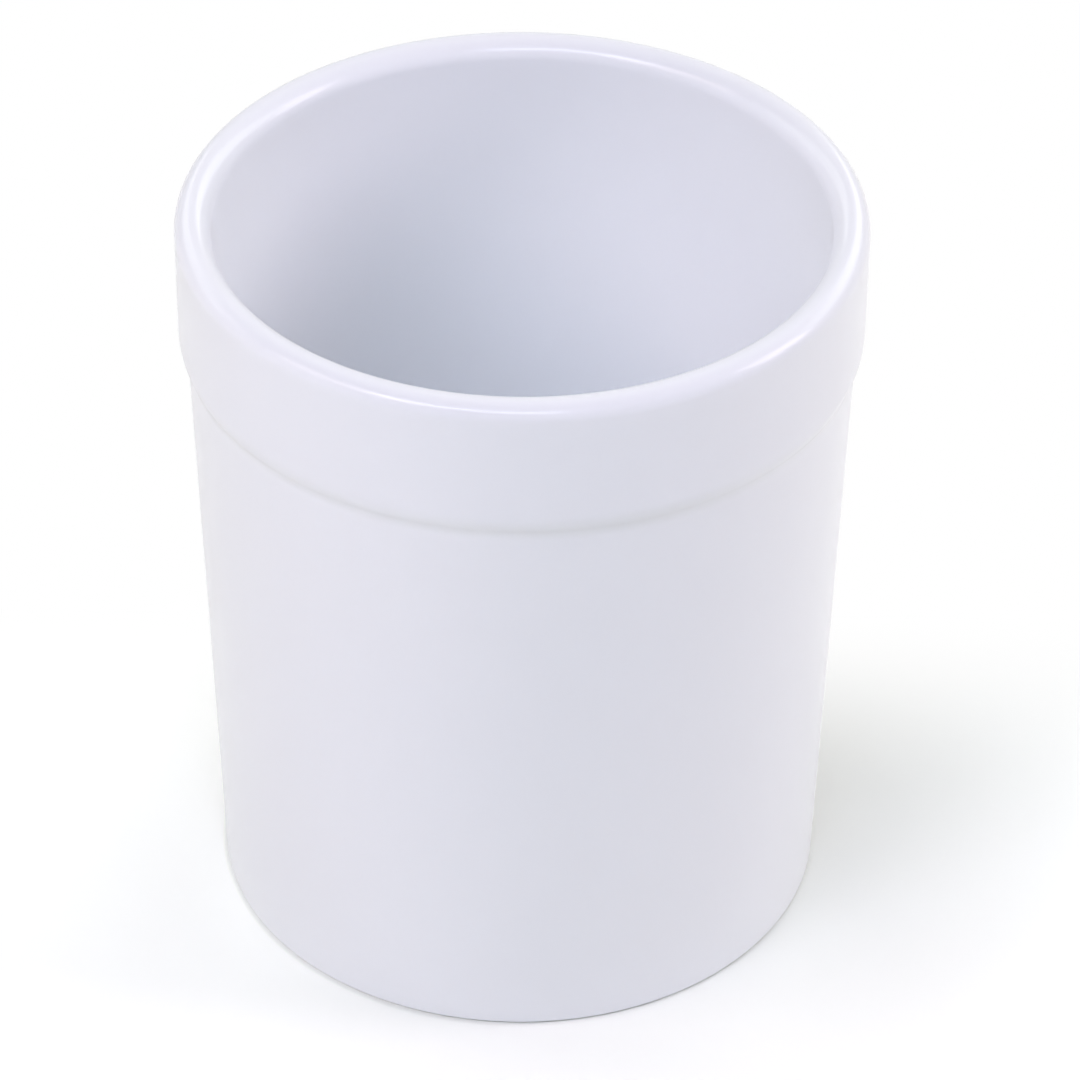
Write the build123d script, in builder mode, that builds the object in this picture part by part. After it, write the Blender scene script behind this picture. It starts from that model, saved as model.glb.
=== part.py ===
from build123d import *
from math import acos, atan2, cos, degrees, sin, tan
import os

# Utensil holder: a round moulded crock with a collar band under a rounded lip,
# standing on a soft ring that is pressed into a groove under its foot rim.
# Millimetres. +Z is up, the axis of the crock is Z, and the table is at Z = 0.

# Outside of the crock
overall_height = 139.3
collar_radius = 60.0
collar_height = 27.8
collar_step = 1.5
shoulder_round = 7.0
valley_blend = 5.4
foot_radius = 55.0
foot_edge_round = 0.5

# Lip and inside of the crock
lip_width = 6.4
lip_outer_round = 2.8
wall_at_foot = 5.2
floor_thickness = 5.0
floor_corner_round = 9.0

# Underside of the crock
foot_rim_width = 11.0
recess_depth = 2.0
recess_corner_round = 1.4
rim_inner_round = 0.8

# Soft ring and the groove that holds it
ring_width = 3.6
ring_grip_depth = 1.7
ring_standoff = 0.3
ring_inset = 3.4
ring_tread_round = 0.8
ring_top_round = 0.3
groove_clearance = 0.08
groove_mouth_round = 0.25

# Heights that follow
foot_z = ring_standoff
recess_z = foot_z + recess_depth
floor_z = recess_z + floor_thickness
groove_top_z = foot_z + ring_grip_depth
valley_z = overall_height - collar_height

# The body is a straight cone from the foot to the valley under the collar
body_top_radius = collar_radius - collar_step
body_draft = atan2(body_top_radius - foot_radius, valley_z - foot_z)

# Going down, the collar turns inwards by a convex shoulder and back by a concave
# blend that ends in line with the body; both turns together make up the step
turn_radii = shoulder_round + valley_blend
shoulder_turn = acos((shoulder_round + valley_blend * cos(body_draft) - collar_step) / turn_radii)
shoulder_drop = shoulder_round * sin(shoulder_turn)
blend_drop = valley_blend * (sin(shoulder_turn) - sin(body_draft))
shoulder_top_z = valley_z + blend_drop + shoulder_drop

# The lip is two quarter rounds that meet at the crown
crown_radius = collar_radius - lip_outer_round
lip_inner_round = lip_width - lip_outer_round
mouth_radius = collar_radius - lip_width
mouth_z = overall_height - lip_inner_round

# The inner wall is a straight cone from the floor to the lip
floor_radius = foot_radius + (floor_z - foot_z) * tan(body_draft) - wall_at_foot
inner_draft = atan2(mouth_radius - floor_radius, mouth_z - floor_z)

# Radii under the foot
recess_radius = foot_radius - foot_rim_width
groove_outer_radius = foot_radius - ring_inset
ring_outer_radius = groove_outer_radius - groove_clearance
ring_inner_radius = ring_outer_radius - ring_width
groove_inner_radius = ring_inner_radius - groove_clearance


def report(name, part):
    box = part.bounding_box().size
    print(f"{name}: {part.volume / 1000:.1f} cm3, {box.X:.1f} x {box.Y:.1f} x {box.Z:.1f} mm")


os.makedirs("parts", exist_ok=True)

# Crock: one section turned about the axis
with BuildPart() as crock:
    with BuildSketch(Plane.XZ) as crock_section:
        with BuildLine() as crock_outline:
            crown = (crown_radius, overall_height)
            outer_lip = JernArc(crown, (1, 0), lip_outer_round, -90)
            shoulder = JernArc(
                (collar_radius, shoulder_top_z), (0, -1), shoulder_round, -degrees(shoulder_turn)
            )
            Line(outer_lip @ 1, shoulder @ 0)
            valley = JernArc(
                shoulder @ 1, shoulder % 1, valley_blend, degrees(shoulder_turn - body_draft)
            )
            inner_lip = JernArc(crown, (-1, 0), lip_inner_round, 90 - degrees(inner_draft))
            FilletPolyline(
                valley @ 1,
                (foot_radius, foot_z),
                (groove_outer_radius, foot_z),
                (groove_outer_radius, groove_top_z),
                (groove_inner_radius, groove_top_z),
                (groove_inner_radius, foot_z),
                (recess_radius, foot_z),
                (recess_radius, recess_z),
                (0, recess_z),
                (0, floor_z),
                (floor_radius, floor_z),
                inner_lip @ 1,
                radius=[
                    foot_edge_round,
                    groove_mouth_round,
                    0,
                    0,
                    groove_mouth_round,
                    rim_inner_round,
                    recess_corner_round,
                    0,
                    0,
                    floor_corner_round,
                ],
            )
        make_face()
    revolve(axis=Axis.Z)

crock.part.label = "crock"
export_step(crock.part, "parts/crock.step")

# Soft ring: its top meets the roof of the groove and its tread stands on the table
with BuildPart() as anti_slip_ring:
    with BuildSketch(Plane.XZ) as ring_section:
        with BuildLine() as ring_outline:
            FilletPolyline(
                (ring_inner_radius, 0),
                (ring_outer_radius, 0),
                (ring_outer_radius, groove_top_z),
                (ring_inner_radius, groove_top_z),
                radius=[ring_tread_round, ring_tread_round, ring_top_round, ring_top_round],
                close=True,
            )
        make_face()
    revolve(axis=Axis.Z)

anti_slip_ring.part.label = "anti_slip_ring"
export_step(anti_slip_ring.part, "parts/anti_slip_ring.step")

report("crock", crock.part)
report("anti_slip_ring", anti_slip_ring.part)
print(f"draft outside {degrees(body_draft):.2f}, inside {degrees(inner_draft):.2f} degrees")
print(f"shoulder turn {degrees(shoulder_turn):.1f} degrees, starts at Z {shoulder_top_z:.2f} mm")
print(f"floor at Z {floor_z:.2f} mm, radius {floor_radius:.2f} mm; mouth radius {mouth_radius:.2f} mm")
print(f"ring from radius {ring_inner_radius:.2f} to {ring_outer_radius:.2f} mm")
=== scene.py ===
from math import acos, atan2, cos, pi, radians, sin, tan
from typing import NamedTuple

import bpy
from mathutils import Euler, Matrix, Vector


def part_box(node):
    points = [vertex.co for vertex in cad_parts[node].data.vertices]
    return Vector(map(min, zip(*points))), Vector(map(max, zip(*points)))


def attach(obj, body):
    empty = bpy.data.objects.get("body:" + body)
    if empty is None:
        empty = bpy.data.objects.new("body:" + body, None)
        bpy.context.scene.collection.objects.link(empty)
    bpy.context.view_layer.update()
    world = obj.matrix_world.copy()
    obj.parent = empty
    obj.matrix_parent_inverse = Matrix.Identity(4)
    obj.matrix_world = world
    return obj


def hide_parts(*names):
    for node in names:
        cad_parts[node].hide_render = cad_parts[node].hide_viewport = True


# A moulded utensil holder with a soft ring under its foot, on a plain pale floor.
# Metres. The crock's axis is Z and it stands on the floor at Z = 0.

bl_info = {
    "name": "Utensil holder",
    "version": (1, 0, 0),
    "blender": (4, 5, 0),
    "location": "View3D > Sidebar > Utensil holder",
    "description": "Makes a moulded utensil holder, its soft ring and a plain studio",
    "category": "Add Mesh",
}

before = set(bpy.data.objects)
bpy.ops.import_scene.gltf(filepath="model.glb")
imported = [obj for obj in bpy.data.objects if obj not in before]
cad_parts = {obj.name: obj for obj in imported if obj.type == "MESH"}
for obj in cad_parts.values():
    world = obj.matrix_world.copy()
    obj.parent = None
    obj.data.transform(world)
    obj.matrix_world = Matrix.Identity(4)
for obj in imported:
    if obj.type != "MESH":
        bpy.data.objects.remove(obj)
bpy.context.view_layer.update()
crock_lowest, crock_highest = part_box("crock")

WHITE = (1.0, 1.0, 1.0, 1.0)

# How far the soft ring's grey goes down and up in its specks and where it is rubbed
SPECK_DARK = 0.85
SPECK_PALE = 1.15
WORN_PALE = 1.35
SPECK_DEPTH = 0.00002

# How many finer layers the noise of each kind of mark has
CLOUD_DETAIL = 2.0
SPECK_DETAIL = 3.0
SCUFF_DETAIL = 4.0

# The stretch of a noise, out of 0 to 1, over which each kind of mark sets in
SCUFF_MARKS = (0.6, 0.72)
SCUFF_PATCHES = (0.45, 0.7)
RUBBED_MARKS = (0.35, 0.65)
DULL_PATCHES = (0.3, 0.7)

# The share of the rubbing that the foot rim gets where it is rubbed least
LEAST_RUBBED = 0.4

# How the turned skins are closed and shaded
WELD_DISTANCE = 1e-6
SHARP_ANGLE = radians(35)

# The camera's frame in millimetres, and the nearest and farthest that it sees
FRAME_WIDTH = 36.0
NEAREST_SEEN = 0.05
FARTHEST_SEEN = 50.0


def length_property(name, default, description):
    """A length in metres that a user may change."""
    return bpy.props.FloatProperty(
        name=name,
        description=description,
        default=default,
        min=0.0,
        precision=5,
        unit="LENGTH",
        subtype="DISTANCE",
    )


def share_property(name, default, description):
    """A share from 0 to 1."""
    return bpy.props.FloatProperty(
        name=name, description=description, default=default, min=0.0, max=1.0, subtype="FACTOR"
    )


def colour_property(name, default, description):
    """A linear colour."""
    return bpy.props.FloatVectorProperty(
        name=name,
        description=description,
        default=default,
        size=3,
        min=0.0,
        max=1.0,
        subtype="COLOR",
    )


def angle_property(name, default, description):
    """An angle in radians, shown in degrees."""
    return bpy.props.FloatProperty(
        name=name, description=description, default=default, unit="ROTATION", subtype="ANGLE"
    )


class CrockSizes(bpy.types.PropertyGroup):
    """Sizes of the moulded crock."""

    height: length_property("Height", crock_highest.z, "From the floor to the top of the lip")
    foot_height: length_property("Foot height", crock_lowest.z, "Gap between floor and foot rim")
    collar_radius: length_property("Collar radius", 0.060, "Outer radius of the collar band")
    collar_height: length_property("Collar height", 0.0278, "From the lip down to the valley")
    collar_step: length_property("Collar step", 0.0015, "How far the collar stands out")
    shoulder_round: length_property("Shoulder round", 0.007, "Convex radius under the collar")
    valley_blend: length_property("Valley blend", 0.0054, "Concave radius below the shoulder")
    foot_radius: length_property("Foot radius", 0.055, "Outer radius at the foot")
    foot_edge_round: length_property("Foot edge round", 0.0005, "Round of the foot's outer edge")
    lip_width: length_property("Lip width", 0.0064, "Thickness of the lip")
    lip_outer_round: length_property("Lip outer round", 0.0028, "Outer radius of the lip")
    wall_at_foot: length_property("Wall", 0.0052, "Wall thickness at the foot")
    floor_thickness: length_property("Floor thickness", 0.005, "Thickness of the crock's floor")
    floor_corner_round: length_property("Floor corner", 0.009, "Round where wall and floor meet")
    foot_rim_width: length_property("Foot rim width", 0.011, "Width of the rim underneath")
    recess_depth: length_property("Recess depth", 0.002, "Depth of the recess underneath")
    recess_corner_round: length_property("Recess corner", 0.0014, "Round inside the recess")
    rim_inner_round: length_property("Rim inner round", 0.0008, "Round of the rim's inner edge")


class RingSizes(bpy.types.PropertyGroup):
    """Sizes of the soft ring and of the groove that it sits in."""

    width: length_property("Width", 0.0036, "Radial width of the ring")
    grip_depth: length_property("Grip depth", 0.0017, "How deep the ring sits in the foot rim")
    inset: length_property("Inset", 0.0034, "From the foot's outside to the groove")
    tread_round: length_property("Tread round", 0.0008, "Round of the tread's two edges")
    top_round: length_property("Top round", 0.0003, "Round of the two upper edges")
    groove_clearance: length_property("Clearance", 0.00008, "Gap on each side of the ring")
    groove_mouth_round: length_property("Groove mouth", 0.00025, "Round of the groove's edges")


class TurningSettings(bpy.types.PropertyGroup):
    """How finely an outline is turned about the axis."""

    segments: bpy.props.IntProperty(
        name="Segments", description="Steps around the axis", default=288, min=32, max=720
    )
    arc_steps: bpy.props.IntProperty(
        name="Arc steps", description="Steps along each round", default=14, min=2, max=64
    )
    spacing: length_property("Spacing", 0.003, "Longest step along a straight stretch")


class FinishSettings(bpy.types.PropertyGroup):
    """Colours, gloss and fine surface of the moulded and the soft material."""

    white: colour_property("White", (0.905, 0.93, 0.958), "Colour of the moulded crock")
    white_warm: colour_property("White, warmer", (0.913, 0.93, 0.952), "Its faint warmer clouds")
    cloud_size: length_property("Cloud size", 0.05, "Width of the faint colour clouds")
    gloss_roughness: share_property("Roughness", 0.32, "Roughness where the gloss is best")
    dull_roughness: share_property("Dull roughness", 0.39, "Roughness where the gloss is dullest")
    gloss_level: share_property("Gloss level", 0.15, "How strongly it mirrors under its skin")
    skin: share_property("Clear skin", 0.4, "Share of the clear, glossier outer skin")
    skin_roughness: share_property("Skin roughness", 0.12, "Roughness of that outer skin")
    mottle_size: length_property("Mottle size", 0.011, "Width of the duller and glossier areas")
    ripple_size: length_property("Ripple size", 0.004, "Width of the ripples under the skin")
    ripple_depth: length_property("Ripple depth", 0.000004, "Height of those ripples")
    scuff_height: length_property("Scuff height", 0.03, "How far up the inside utensils scuff it")
    scuff_width: length_property("Scuff width", 0.0007, "Width of a scuff mark")
    scuff_shade: share_property("Scuff shade", 0.035, "How much a scuff mark darkens the white")
    rim_wear: length_property("Rim wear", 0.0012, "How far up the foot rim it is rubbed dull")
    worn_roughness: share_property("Worn roughness", 0.5, "Roughness where the gloss is rubbed")
    soft_grey: colour_property("Ring grey", (0.36, 0.37, 0.39), "Colour of the soft ring")
    soft_roughness: share_property("Ring roughness", 0.7, "Roughness of the soft ring")
    speck_size: length_property("Speck size", 0.0008, "Width of the specks in the soft ring")
    tread_wear: length_property("Tread wear", 0.0003, "How far up the tread is rubbed paler")


class StageSettings(bpy.types.PropertyGroup):
    """Camera, lamps and floor."""

    camera_back: length_property("Camera back", 0.7313, "From the axis back to the camera")
    camera_height: length_property("Camera height", 0.6196, "Of the camera above the floor")
    camera_tilt: angle_property("Camera tilt", 0.6465, "How far the camera looks down")
    camera_roll: angle_property("Camera roll", 0.0055, "Turn of the camera about its view")
    camera_lens: bpy.props.FloatProperty(
        name="Lens",
        description="Focal length in millimetres on a 36 mm frame",
        default=169.07,
        min=1.0,
        unit="CAMERA",
    )
    camera_shift: bpy.props.FloatProperty(
        name="Shift", description="Sideways shift, as a share of the frame", default=0.018
    )
    floor_half: length_property("Floor reach", 4.0, "From the axis to the edge of the floor")
    floor_colour: colour_property("Floor", (0.90, 0.92, 0.865), "Colour of the pale floor")
    floor_roughness: share_property("Floor roughness", 0.9, "Roughness of the pale floor")
    floor_glow: share_property("Floor glow", 0.27, "White that the floor adds where it is seen")
    glow_centre: length_property("Glow centre", 0.021, "How far right of the axis it is darkest")
    glow_from: length_property("Glow from", 0.033, "Distance from that centre where it starts")
    glow_to: length_property("Glow to", 0.122, "Distance from that centre where it is full")
    contact_width: length_property("Contact width", 0.001, "Width at the foot where it sets in")
    white_from: length_property("White from", 0.01, "How far behind the axis the floor turns white")
    white_to: length_property("White to", 0.065, "How far behind the axis it is all white")
    far_from: length_property("Far from", 0.35, "Distance all round where it turns white too")
    far_to: length_property("Far to", 0.7, "Distance all round where it is all white")


def add_node(tree, kind, inputs=None, **settings):
    """Adds a node. A socket in inputs is linked, and any other value is set."""
    made = tree.nodes.new(kind)
    for name, value in settings.items():
        setattr(made, name, value)
    for key, value in (inputs or {}).items():
        socket = made.inputs[key]
        if isinstance(value, bpy.types.NodeSocket):
            tree.links.new(value, socket)
        else:
            socket.default_value = value
    return made


def add_math(tree, operation, first, second=0.0, third=0.0):
    """Adds a math node and returns its result."""
    inputs = {0: first, 1: second, 2: third}
    return add_node(tree, "ShaderNodeMath", inputs, operation=operation).outputs[0]


def turned_tree():
    """Rounds the corners of an outline and turns it about Z into a closed, smooth skin."""
    tree = bpy.data.node_groups.new("Turned piece", "GeometryNodeTree")
    add_socket = tree.interface.new_socket
    add_socket("Outline", in_out="INPUT", socket_type="NodeSocketGeometry")
    add_socket("Segments", in_out="INPUT", socket_type="NodeSocketInt")
    add_socket("Arc Steps", in_out="INPUT", socket_type="NodeSocketInt")
    add_socket("Spacing", in_out="INPUT", socket_type="NodeSocketFloat")
    add_socket("Material", in_out="INPUT", socket_type="NodeSocketMaterial")
    add_socket("Geometry", in_out="OUTPUT", socket_type="NodeSocketGeometry")
    given = add_node(tree, "NodeGroupInput").outputs

    # Corners become arcs, each with the radius stored on its point
    outline = add_node(tree, "GeometryNodeMeshToCurve", {"Mesh": given["Outline"]})
    rounds = add_node(tree, "GeometryNodeInputNamedAttribute", {"Name": "round"}, data_type="FLOAT")
    rounded = add_node(
        tree,
        "GeometryNodeFilletCurve",
        {
            "Curve": outline.outputs["Curve"],
            "Count": given["Arc Steps"],
            "Radius": rounds.outputs["Attribute"],
            "Limit Radius": True,
        },
        mode="POLY",
    )

    # Straight stretches get extra points, no further apart than Spacing
    index = add_node(tree, "GeometryNodeInputIndex").outputs[0]
    along = add_node(tree, "GeometryNodeSplineParameter").outputs["Length"]
    after = add_node(
        tree,
        "GeometryNodeFieldAtIndex",
        {"Index": add_math(tree, "ADD", index, 1.0), "Value": along},
        data_type="FLOAT",
    )
    step = add_math(tree, "SUBTRACT", after.outputs[0], along)
    cuts = add_math(tree, "FLOOR", add_math(tree, "DIVIDE", step, given["Spacing"]))
    fine = add_node(
        tree,
        "GeometryNodeSubdivideCurve",
        {"Curve": rounded.outputs["Curve"], "Cuts": add_math(tree, "MAXIMUM", cuts, 0.0)},
    )

    # A grid with one row for each point of the outline is wrapped round the axis
    size = add_node(
        tree,
        "GeometryNodeAttributeDomainSize",
        {"Geometry": fine.outputs["Curve"]},
        component="CURVE",
    )
    rows = size.outputs["Point Count"]
    columns = add_math(tree, "ADD", given["Segments"], 1.0)
    grid = add_node(tree, "GeometryNodeMeshGrid", {"Vertices X": rows, "Vertices Y": columns})
    row = add_math(tree, "FLOOR", add_math(tree, "DIVIDE", index, columns))
    column = add_math(tree, "SUBTRACT", index, add_math(tree, "MULTIPLY", row, columns))
    point = add_node(
        tree,
        "GeometryNodeSampleIndex",
        {
            "Geometry": fine.outputs["Curve"],
            "Value": add_node(tree, "GeometryNodeInputPosition").outputs[0],
            "Index": row,
        },
        data_type="FLOAT_VECTOR",
        domain="POINT",
    )
    place = add_node(tree, "ShaderNodeSeparateXYZ", {0: point.outputs[0]}).outputs
    share = add_math(tree, "DIVIDE", column, given["Segments"])
    angle = add_math(tree, "MULTIPLY", share, 2.0 * pi)
    turned = add_node(
        tree,
        "ShaderNodeCombineXYZ",
        {
            "X": add_math(tree, "MULTIPLY", place["X"], add_math(tree, "COSINE", angle)),
            "Y": add_math(tree, "MULTIPLY", place["X"], add_math(tree, "SINE", angle)),
            "Z": place["Z"],
        },
    )
    wrapped = add_node(
        tree,
        "GeometryNodeSetPosition",
        {"Geometry": grid.outputs["Mesh"], "Position": turned.outputs[0]},
    )

    # The seam and the poles are welded, and only real corners stay sharp
    welded = add_node(
        tree,
        "GeometryNodeMergeByDistance",
        {"Geometry": wrapped.outputs[0], "Distance": WELD_DISTANCE},
    )
    outward = add_node(tree, "GeometryNodeFlipFaces", {"Mesh": welded.outputs[0]})
    smooth = add_node(tree, "GeometryNodeSetShadeSmooth", {"Geometry": outward.outputs[0]})
    edge_angle = add_node(tree, "GeometryNodeInputMeshEdgeAngle").outputs["Unsigned Angle"]
    corners = add_node(
        tree,
        "GeometryNodeSetShadeSmooth",
        {
            "Geometry": smooth.outputs[0],
            "Selection": add_math(tree, "GREATER_THAN", edge_angle, SHARP_ANGLE),
            "Shade Smooth": False,
        },
        domain="EDGE",
    )
    real = add_node(tree, "GeometryNodeRealizeInstances", {"Geometry": corners.outputs[0]})
    finished = add_node(
        tree,
        "GeometryNodeSetMaterial",
        {"Geometry": real.outputs[0], "Material": given["Material"]},
    )
    add_node(tree, "NodeGroupOutput", {"Geometry": finished.outputs[0]})
    return tree


def turn_piece(name, corners, material, settings):
    """Makes a mesh object by turning an outline of (radius, height, round) about Z."""
    outline = bpy.data.meshes.new(name + "_outline")
    edges = [(i, i + 1) for i in range(len(corners) - 1)]
    outline.from_pydata([(r, 0.0, z) for r, z, _ in corners], edges, [])
    rounds = outline.attributes.new("round", "FLOAT", "POINT")
    rounds.data.foreach_set("value", [bend for _, _, bend in corners])
    source = bpy.data.objects.new(name + "_outline", outline)
    bpy.context.scene.collection.objects.link(source)

    tree = turned_tree()
    turning = source.modifiers.new("Turned piece", "NODES")
    turning.node_group = tree
    values = {
        "Segments": settings.segments,
        "Arc Steps": settings.arc_steps,
        "Spacing": settings.spacing,
        "Material": material,
    }
    for item in tree.interface.items_tree:
        if item.in_out == "INPUT" and item.name in values:
            turning[item.identifier] = values[item.name]

    graph = bpy.context.evaluated_depsgraph_get()
    mesh = bpy.data.meshes.new_from_object(source.evaluated_get(graph))
    mesh.name = name
    source.modifiers.clear()
    bpy.data.objects.remove(source)
    bpy.data.meshes.remove(outline)
    bpy.data.node_groups.remove(tree)
    if not mesh.polygons:
        raise RuntimeError(f"{name}: the outline gave no faces")
    piece = bpy.data.objects.new(name, mesh)
    bpy.context.scene.collection.objects.link(piece)
    return piece


def crock_corners(crock, ring):
    """Sharp corners of the crock's outline with the round of each, from the axis underneath
    along the outside, over the lip and down the inside to the axis."""
    foot_z = crock.foot_height
    recess_z = foot_z + crock.recess_depth
    floor_z = recess_z + crock.floor_thickness
    groove_top_z = foot_z + ring.grip_depth
    valley_z = crock.height - crock.collar_height

    body_top_radius = crock.collar_radius - crock.collar_step
    body_draft = atan2(body_top_radius - crock.foot_radius, valley_z - foot_z)

    # The shoulder turns in and the valley turns back, with no straight between them
    convex, concave = crock.shoulder_round, crock.valley_blend
    turn = acos((convex + concave * cos(body_draft) - crock.collar_step) / (convex + concave))
    shoulder_top_z = valley_z + concave * (sin(turn) - sin(body_draft)) + convex * sin(turn)
    shoulder_z = shoulder_top_z - convex * tan(turn / 2)
    valley_reach = concave * tan((turn - body_draft) / 2)
    valley = (
        body_top_radius + valley_reach * sin(body_draft),
        valley_z + valley_reach * cos(body_draft),
    )

    inner_round = crock.lip_width - crock.lip_outer_round
    crown_radius = crock.collar_radius - crock.lip_outer_round
    mouth_radius = crock.collar_radius - crock.lip_width
    floor_radius = crock.foot_radius + (floor_z - foot_z) * tan(body_draft) - crock.wall_at_foot
    inner_draft = atan2(mouth_radius - floor_radius, crock.height - inner_round - floor_z)
    lip_inner_radius = crown_radius - inner_round * tan((pi / 2 - inner_draft) / 2)

    groove_outer = crock.foot_radius - ring.inset
    groove_inner = groove_outer - ring.width - 2 * ring.groove_clearance
    recess_radius = crock.foot_radius - crock.foot_rim_width
    return [
        (0.0, recess_z, 0.0),
        (recess_radius, recess_z, crock.recess_corner_round),
        (recess_radius, foot_z, crock.rim_inner_round),
        (groove_inner, foot_z, ring.groove_mouth_round),
        (groove_inner, groove_top_z, 0.0),
        (groove_outer, groove_top_z, 0.0),
        (groove_outer, foot_z, ring.groove_mouth_round),
        (crock.foot_radius, foot_z, crock.foot_edge_round),
        (*valley, concave),
        (crock.collar_radius, shoulder_z, convex),
        (crock.collar_radius, crock.height, crock.lip_outer_round),
        (lip_inner_radius, crock.height, inner_round),
        (floor_radius, floor_z, crock.floor_corner_round),
        (0.0, floor_z, 0.0),
    ]


def ring_corners(crock, ring):
    """Corners of the soft ring's section with the round of each, once round from the middle
    of its top and back to it."""
    outer = crock.foot_radius - ring.inset - ring.groove_clearance
    inner = outer - ring.width
    top_z = crock.foot_height + ring.grip_depth
    middle = ((inner + outer) / 2, top_z, 0.0)
    return [
        middle,
        (inner, top_z, ring.top_round),
        (inner, 0.0, ring.tread_round),
        (outer, 0.0, ring.tread_round),
        (outer, top_z, ring.top_round),
        middle,
    ]


def new_material(name):
    """An empty material with its output and a Principled shader."""
    material = bpy.data.materials.new(name)
    material.use_nodes = True
    tree = material.node_tree
    tree.nodes.clear()
    shader = add_node(tree, "ShaderNodeBsdfPrincipled")
    add_node(tree, "ShaderNodeOutputMaterial", {"Surface": shader.outputs[0]})
    return material, tree, shader


def noise(tree, place, width, detail=CLOUD_DETAIL):
    """A noise whose features are about as wide as given."""
    inputs = {"Vector": place, "Scale": 1.0 / width, "Detail": detail}
    return add_node(tree, "ShaderNodeTexNoise", inputs).outputs[0]


def ramp(tree, value, low, high, to_low=0.0, to_high=1.0):
    """Maps a value from low..high to another range, smoothly and with its ends held."""
    inputs = {"Value": value, 1: low, 2: high, 3: to_low, 4: to_high}
    made = add_node(tree, "ShaderNodeMapRange", inputs, interpolation_type="SMOOTHSTEP")
    return made.outputs[0]


def blend(tree, share, first, second):
    """Mixes two colours, each a tuple of three or a socket."""
    inputs = {0: share}
    for key, colour in (("A", first), ("B", second)):
        inputs[key] = colour if isinstance(colour, bpy.types.NodeSocket) else (*colour, 1.0)
    made = add_node(tree, "ShaderNodeMix", inputs, data_type="RGBA")
    return made.outputs["Result"]


def radius_of(tree, x, y):
    """How far a place x, y is from 0, 0."""
    across = add_math(tree, "MULTIPLY_ADD", y, y, add_math(tree, "MULTIPLY", x, x))
    return add_math(tree, "SQRT", across)


def set_bump(tree, shader, height, depth):
    """Raises the surface by a height from 0 to 1 times the depth."""
    inputs = {"Height": height, "Distance": depth, "Strength": 1.0}
    bump = add_node(tree, "ShaderNodeBump", inputs)
    tree.links.new(bump.outputs[0], shader.inputs["Normal"])


def melamine_material(finish, crock):
    """Satin white moulding, faintly clouded and slightly rippled, under a clear glossier skin,
    with faint scuffs inside near the floor and a foot rim that is rubbed dull."""
    material, tree, shader = new_material("moulded_melamine")
    place = add_node(tree, "ShaderNodeTexCoord").outputs["Object"]
    axes = add_node(tree, "ShaderNodeSeparateXYZ", {0: place}).outputs

    # Only what lies inside the wall and near the floor of the crock is scuffed
    radius = radius_of(tree, axes["X"], axes["Y"])
    wall = crock.foot_radius - crock.wall_at_foot / 2
    scuff_floor = crock.foot_height + crock.recess_depth + crock.floor_thickness / 2
    inside = add_math(tree, "LESS_THAN", radius, wall)
    above = add_math(tree, "GREATER_THAN", axes["Z"], scuff_floor)
    low = ramp(tree, axes["Z"], scuff_floor, scuff_floor + finish.scuff_height, 1.0, 0.0)
    marks = noise(tree, place, finish.scuff_width, SCUFF_DETAIL)
    patches = noise(tree, place, finish.mottle_size)
    scuffs = add_math(
        tree, "MULTIPLY", ramp(tree, marks, *SCUFF_MARKS), ramp(tree, patches, *SCUFF_PATCHES)
    )
    scuffs = add_math(tree, "MULTIPLY", scuffs, add_math(tree, "MULTIPLY", inside, above))
    scuffs = add_math(tree, "MULTIPLY", scuffs, low)

    clouds = noise(tree, place, finish.cloud_size)
    moulded = blend(tree, clouds, finish.white, finish.white_warm)
    scuffed = [c * (1.0 - finish.scuff_shade) for c in finish.white]
    tree.links.new(blend(tree, scuffs, moulded, scuffed), shader.inputs["Base Color"])

    # The moulding under the clear skin is duller in patches, and dullest where it is worn
    rubbed_top = crock.foot_height + finish.rim_wear
    rubbed = ramp(tree, axes["Z"], crock.foot_height, rubbed_top, 1.0, 0.0)
    uneven = ramp(tree, marks, *RUBBED_MARKS, LEAST_RUBBED, 1.0)
    rubbed = add_math(tree, "MULTIPLY", rubbed, uneven)
    worn = add_math(tree, "MAXIMUM", rubbed, scuffs)
    dull = ramp(tree, patches, *DULL_PATCHES, finish.gloss_roughness, finish.dull_roughness)
    left = add_math(tree, "SUBTRACT", finish.worn_roughness, dull)
    roughness = add_math(tree, "MULTIPLY_ADD", worn, left, dull)
    tree.links.new(roughness, shader.inputs["Roughness"])
    shader.inputs["Specular IOR Level"].default_value = finish.gloss_level

    # The clear skin is the same all over
    shader.inputs["Coat Weight"].default_value = finish.skin
    shader.inputs["Coat Roughness"].default_value = finish.skin_roughness
    set_bump(tree, shader, noise(tree, place, finish.ripple_size), finish.ripple_depth)
    return material


def soft_material(finish):
    """Matt soft grey with fine specks, rubbed paler where it stands on the floor."""
    material, tree, shader = new_material("soft_elastomer")
    place = add_node(tree, "ShaderNodeTexCoord").outputs["Object"]
    height = add_node(tree, "ShaderNodeSeparateXYZ", {0: place}).outputs["Z"]
    specks = noise(tree, place, finish.speck_size, SPECK_DETAIL)
    dark = [SPECK_DARK * c for c in finish.soft_grey]
    pale = [SPECK_PALE * c for c in finish.soft_grey]
    worn = [WORN_PALE * c for c in finish.soft_grey]
    rubbed = ramp(tree, height, 0.0, finish.tread_wear, 1.0, 0.0)
    colour = blend(tree, rubbed, blend(tree, specks, dark, pale), worn)
    tree.links.new(colour, shader.inputs["Base Color"])
    roughness = ramp(tree, specks, *DULL_PATCHES, finish.soft_roughness, 1.0)
    tree.links.new(roughness, shader.inputs["Roughness"])
    set_bump(tree, shader, specks, SPECK_DEPTH)
    return material


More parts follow.
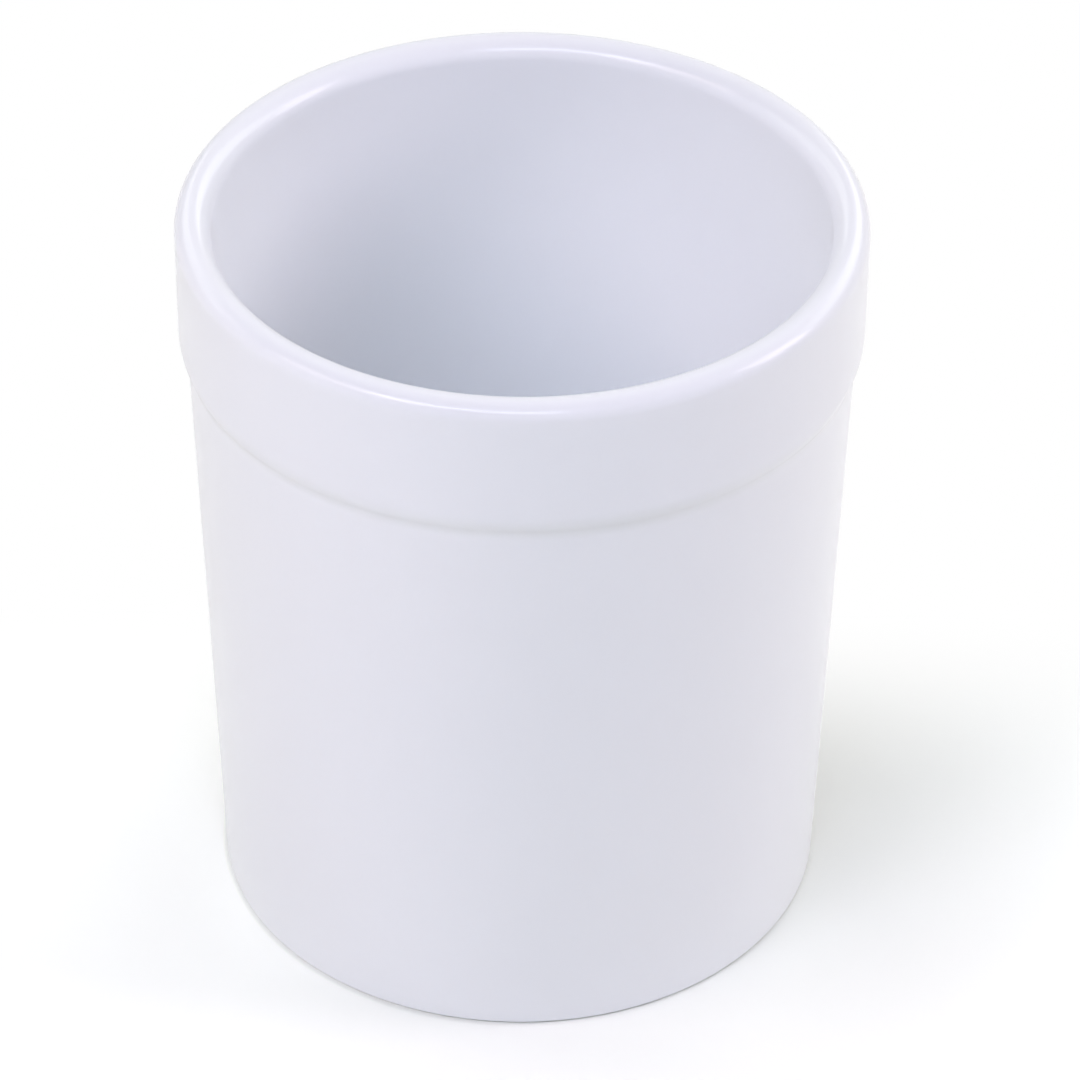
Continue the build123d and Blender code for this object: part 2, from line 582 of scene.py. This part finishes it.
class HOLDER_OT_make_crock(bpy.types.Operator):
    """Makes the moulded crock: body, collar band, rounded lip, floor and foot rim"""

    bl_idname = "holder.make_crock"
    bl_label = "Make crock"

    def execute(self, context):
        scene = context.scene
        corners = crock_corners(scene.holder_crock, scene.holder_ring)
        material = melamine_material(scene.holder_finish, scene.holder_crock)
        piece = turn_piece("moulded_crock", corners, material, scene.holder_turning)
        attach(piece, "root")
        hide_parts("crock")
        return {"FINISHED"}


class HOLDER_OT_make_ring(bpy.types.Operator):
    """Makes the soft ring that sits in the groove under the foot"""

    bl_idname = "holder.make_ring"
    bl_label = "Make soft ring"

    def execute(self, context):
        scene = context.scene
        corners = ring_corners(scene.holder_crock, scene.holder_ring)
        material = soft_material(scene.holder_finish)
        piece = turn_piece("soft_ring", corners, material, scene.holder_turning)
        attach(piece, "root")
        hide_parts("anti_slip_ring")
        return {"FINISHED"}


class Softbox(NamedTuple):
    """A rectangular lamp that faces the middle of the holder."""

    turn: float
    rise: float
    distance: float
    width: float
    depth: float
    power: float
    colour: tuple


# Turn is in degrees from the camera's side to the right, rise is in degrees above the floor
SOFTBOX_TARGET = Vector((0.0, 0.0, 0.07))
SOFTBOXES = {
    "key_softbox": Softbox(-60, 40, 1.3, 1.0, 0.4, 4.9, (1.0, 0.82, 0.80)),
    "front_softbox": Softbox(-20, 50, 1.3, 1.2, 0.3, 10.0, (0.79, 0.83, 1.0)),
    "side_softbox": Softbox(88, 28, 1.3, 0.5, 0.6, 6.5, (1.0, 0.89, 0.97)),
    "back_left_softbox": Softbox(-135, 32, 1.4, 1.4, 0.5, 5.1, (0.97, 1.0, 0.98)),
    "back_right_softbox": Softbox(135, 32, 1.4, 1.4, 0.5, 6.9, (0.97, 1.0, 0.96)),
}


def seen_rays(tree):
    """1 for what the camera sees straight, in a reflection or through something clear."""
    rays = add_node(tree, "ShaderNodeLightPath").outputs
    seen = add_math(tree, "MAXIMUM", rays["Is Camera Ray"], rays["Is Glossy Ray"])
    return add_math(tree, "MAXIMUM", seen, rays["Is Transmission Ray"])


def make_floor(stage, foot_radius):
    """A wide pale floor that keeps the shadow near the holder and is white behind it and far
    from it."""
    half = stage.floor_half
    mesh = bpy.data.meshes.new("floor")
    mesh.from_pydata(
        [(-half, -half, 0), (half, -half, 0), (half, half, 0), (-half, half, 0)],
        [],
        [(0, 1, 2, 3)],
    )
    floor = bpy.data.objects.new("floor", mesh)
    bpy.context.scene.collection.objects.link(floor)
    material, tree, shader = new_material("pale_floor")
    shader.inputs["Base Color"].default_value = (*stage.floor_colour, 1.0)
    shader.inputs["Roughness"].default_value = stage.floor_roughness
    shader.inputs["Specular IOR Level"].default_value = 0.0
    place = add_node(tree, "ShaderNodeTexCoord").outputs["Object"]
    axes = add_node(tree, "ShaderNodeSeparateXYZ", {0: place}).outputs
    seen = seen_rays(tree)

    # The floor adds some white to itself, but not in the shadow near the holder
    away = radius_of(tree, add_math(tree, "SUBTRACT", axes["X"], stage.glow_centre), axes["Y"])
    glow = ramp(tree, away, stage.glow_from, stage.glow_to, 0.0, stage.floor_glow)
    radius = radius_of(tree, axes["X"], axes["Y"])
    clear = ramp(tree, radius, foot_radius, foot_radius + stage.contact_width)
    glow = add_math(tree, "MULTIPLY", glow, clear)
    tree.links.new(add_math(tree, "MULTIPLY", seen, glow), shader.inputs["Emission Strength"])
    shader.inputs["Emission Color"].default_value = WHITE

    # Behind the holder, and far from it all round, the floor is plain white
    white = add_node(tree, "ShaderNodeEmission", {"Color": WHITE})
    behind = ramp(tree, axes["Y"], stage.white_from, stage.white_to)
    far = ramp(tree, radius, stage.far_from, stage.far_to)
    share = add_math(tree, "MULTIPLY", add_math(tree, "MAXIMUM", behind, far), seen)
    mixed = add_node(
        tree, "ShaderNodeMixShader", {0: share, 1: shader.outputs[0], 2: white.outputs[0]}
    )
    tree.links.new(mixed.outputs[0], tree.nodes["Material Output"].inputs["Surface"])
    mesh.materials.append(material)


def make_world():
    """A white surrounding that is seen and reflected, while the lamps alone give the light."""
    world = bpy.data.worlds.new("studio")
    world.use_nodes = True
    tree = world.node_tree
    tree.nodes.clear()
    white = add_node(tree, "ShaderNodeBackground", {"Color": WHITE, "Strength": seen_rays(tree)})
    add_node(tree, "ShaderNodeOutputWorld", {"Surface": white.outputs[0]})
    bpy.context.scene.world = world


def make_softbox(name, box):
    """A rectangular lamp at its turn and rise round the holder."""
    lamp = bpy.data.lights.new(name, "AREA")
    lamp.shape = "RECTANGLE"
    lamp.size = box.width
    lamp.size_y = box.depth
    lamp.energy = box.power
    lamp.color = box.colour
    side, up = radians(box.turn), radians(box.rise)
    away = Vector((sin(side) * cos(up), -cos(side) * cos(up), sin(up)))
    stand = bpy.data.objects.new(name, lamp)
    stand.location = SOFTBOX_TARGET + away * box.distance
    stand.rotation_euler = (-away).to_track_quat("-Z", "Y").to_euler()
    bpy.context.scene.collection.objects.link(stand)


def make_camera(stage):
    """A long lens that looks down at the holder from the front."""
    camera = bpy.data.cameras.new("camera")
    camera.sensor_width = FRAME_WIDTH
    camera.lens = stage.camera_lens
    camera.shift_x = stage.camera_shift
    camera.clip_start = NEAREST_SEEN
    camera.clip_end = FARTHEST_SEEN
    stand = bpy.data.objects.new("camera", camera)
    stand.location = (0.0, -stage.camera_back, stage.camera_height)
    tilt = Euler((pi / 2 - stage.camera_tilt, 0.0, 0.0)).to_matrix()
    roll = Euler((0.0, 0.0, stage.camera_roll)).to_matrix()
    stand.rotation_euler = (tilt @ roll).to_euler()
    bpy.context.scene.collection.objects.link(stand)
    bpy.context.scene.camera = stand


class HOLDER_OT_set_stage(bpy.types.Operator):
    """Sets the floor, the light and the camera"""

    bl_idname = "holder.set_stage"
    bl_label = "Set stage"

    def execute(self, context):
        stage = context.scene.holder_stage
        make_floor(stage, context.scene.holder_crock.foot_radius)
        make_world()
        for name, box in SOFTBOXES.items():
            make_softbox(name, box)
        make_camera(stage)
        context.scene.view_settings.view_transform = "Standard"
        return {"FINISHED"}


class HOLDER_PT_panel(bpy.types.Panel):
    """Lists the sizes and the steps"""

    bl_idname = "HOLDER_PT_panel"
    bl_label = "Utensil holder"
    bl_space_type = "VIEW_3D"
    bl_region_type = "UI"
    bl_category = "Utensil holder"

    def draw(self, context):
        for name in SETTINGS:
            settings = getattr(context.scene, name)
            column = self.layout.column(heading=settings.bl_rna.description)
            for key in settings.bl_rna.properties.keys():
                if key not in {"rna_type", "name"}:
                    column.prop(settings, key)
        for operator in OPERATORS:
            self.layout.operator(operator.bl_idname)


SETTINGS = {
    "holder_crock": CrockSizes,
    "holder_ring": RingSizes,
    "holder_turning": TurningSettings,
    "holder_finish": FinishSettings,
    "holder_stage": StageSettings,
}
OPERATORS = (HOLDER_OT_make_crock, HOLDER_OT_make_ring, HOLDER_OT_set_stage)


def register():
    for name, group in SETTINGS.items():
        bpy.utils.register_class(group)
        setattr(bpy.types.Scene, name, bpy.props.PointerProperty(type=group))
    for operator in OPERATORS:
        bpy.utils.register_class(operator)
    bpy.utils.register_class(HOLDER_PT_panel)


def unregister():
    bpy.utils.unregister_class(HOLDER_PT_panel)
    for operator in reversed(OPERATORS):
        bpy.utils.unregister_class(operator)
    for name, group in reversed(SETTINGS.items()):
        delattr(bpy.types.Scene, name)
        bpy.utils.unregister_class(group)


def main():
    register()
    bpy.ops.holder.make_crock()
    bpy.ops.holder.make_ring()
    bpy.ops.holder.set_stage()


if __name__ == "__main__":
    main()
